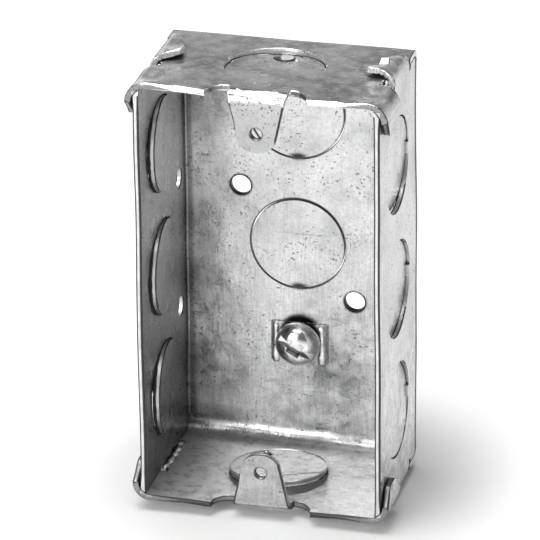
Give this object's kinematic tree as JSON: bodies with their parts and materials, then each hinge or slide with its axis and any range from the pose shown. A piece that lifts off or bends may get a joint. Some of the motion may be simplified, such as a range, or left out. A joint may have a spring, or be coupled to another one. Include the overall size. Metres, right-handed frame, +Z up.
{
  "type": "metal back box",
  "caption": "Open-fronted box folded from one steel sheet, with knockout discs in its walls, ears for a switch or socket, fixing holes in the back and an earthing screw.",
  "frame": {"origin": "middle of the outer face of the back, midway between the two fixing holes", "axes": "+X across the box to the right, +Y from the open front towards the wall behind, +Z up along the box's length"},
  "size_m": [0.0602, 0.0384, 0.1062],
  "materials": {
    "galvanised_steel": "zinc-coated sheet, mottled satin with fine scratches",
    "plated_screw": "bright zinc plating"
  },
  "bodies": {
    "box": {"box_body": "galvanised_steel"},
    "screw": {"ground_screw": "plated_screw"}
  },
  "joints": [
    {"name": "ground_screw_turn", "type": "hinge", "parent": "box", "child": "screw", "pos_m": [0.0005, -0.0028, -0.0241], "axis": [0, -1, 0], "continuous": true}
  ]
}
